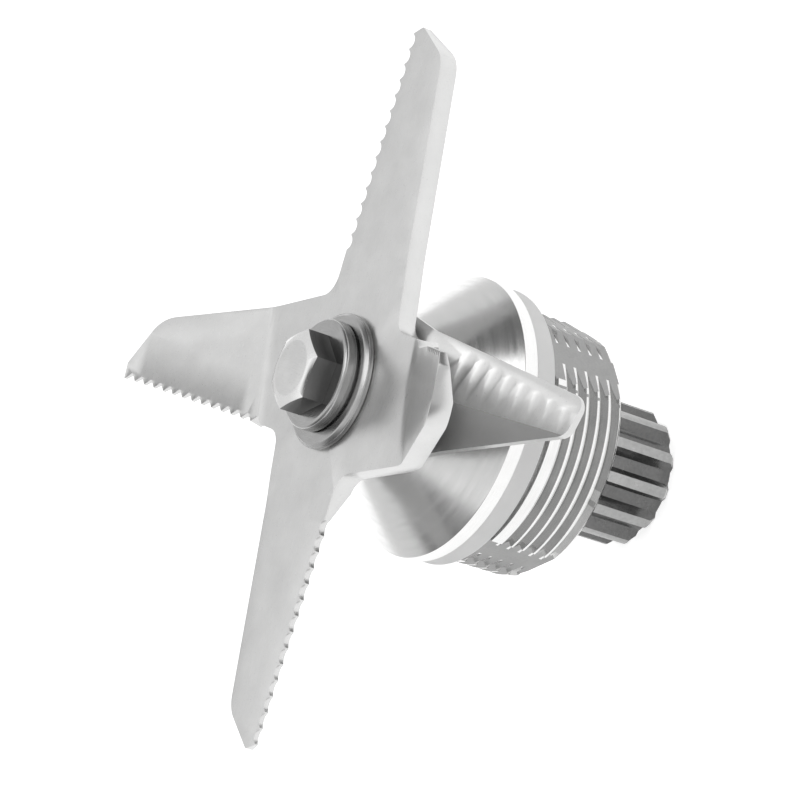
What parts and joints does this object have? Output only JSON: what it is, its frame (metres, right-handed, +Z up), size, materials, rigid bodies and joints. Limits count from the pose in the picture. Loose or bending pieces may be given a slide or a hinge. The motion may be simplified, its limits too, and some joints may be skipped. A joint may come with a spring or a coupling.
{
  "type": "blender blade assembly",
  "caption": "Blender blade unit: serrated cutting arms on a spindle, carried by ball bearings in a threaded housing, with a drive spline underneath.",
  "frame": {"origin": "on the spindle axis, at the end face of the drive spline that the unit stands on", "axes": "+Z up along the spindle from the drive spline to the top bolt, +Y along one of the two flat arms, X along the raised arms and the lower blade"},
  "size_m": [0.0684, 0.0808, 0.0498],
  "materials": {
    "blade_steel": "fine brushed stainless",
    "washer_steel": "turned stainless",
    "bolt_steel": "cold-formed stainless",
    "housing_steel": "turned stainless",
    "gasket_rubber": "matte light grey silicone",
    "seal_rubber": "black nitrile",
    "spindle_steel": "ground steel",
    "spline_steel": "pressed and tumbled steel",
    "screw_steel": "black oxide",
    "bearing_steel": "ground and polished",
    "cage_steel": "pressed sheet",
    "spring_steel": "drawn wire"
  },
  "bodies": {
    "housing": {"housing": "housing_steel", "gasket": "gasket_rubber", "lip_seal": "seal_rubber", "seal_spring": "spring_steel", "upper_outer_ring": "bearing_steel", "upper_shields": "cage_steel", "outer_spacer": "spindle_steel", "lower_outer_ring": "bearing_steel", "lower_shields": "cage_steel", "circlip": "spring_steel"},
    "rotor": {"top_bolt": "bolt_steel", "thick_washer": "washer_steel", "wide_washer": "washer_steel", "upper_blade": "blade_steel", "lower_blade": "blade_steel", "seat_sleeve": "spindle_steel", "spindle": "spindle_steel", "upper_inner_ring": "bearing_steel", "inner_spacer": "spindle_steel", "lower_inner_ring": "bearing_steel", "drive_spline": "spline_steel", "spline_screw": "screw_steel"},
    "upper_ball_set": {"upper_cage": "cage_steel", "upper_balls": "bearing_steel"},
    "lower_ball_set": {"lower_cage": "cage_steel", "lower_balls": "bearing_steel"}
  },
  "joints": [
    {"name": "spindle_spin", "type": "hinge", "parent": "housing", "child": "rotor", "pos_m": [0, 0, 0.0234], "axis": [0, 0, 1], "continuous": true},
    {"name": "upper_balls_orbit", "type": "hinge", "parent": "housing", "child": "upper_ball_set", "pos_m": [0, 0, 0.0279], "axis": [0, 0, 1], "continuous": true},
    {"name": "lower_balls_orbit", "type": "hinge", "parent": "housing", "child": "lower_ball_set", "pos_m": [0, 0, 0.0189], "axis": [0, 0, 1], "continuous": true}
  ],
  "couplings": [
    {"joint": "upper_balls_orbit", "follows": "spindle_spin", "ratio": 0.3677},
    {"joint": "lower_balls_orbit", "follows": "spindle_spin", "ratio": 0.3677}
  ]
}
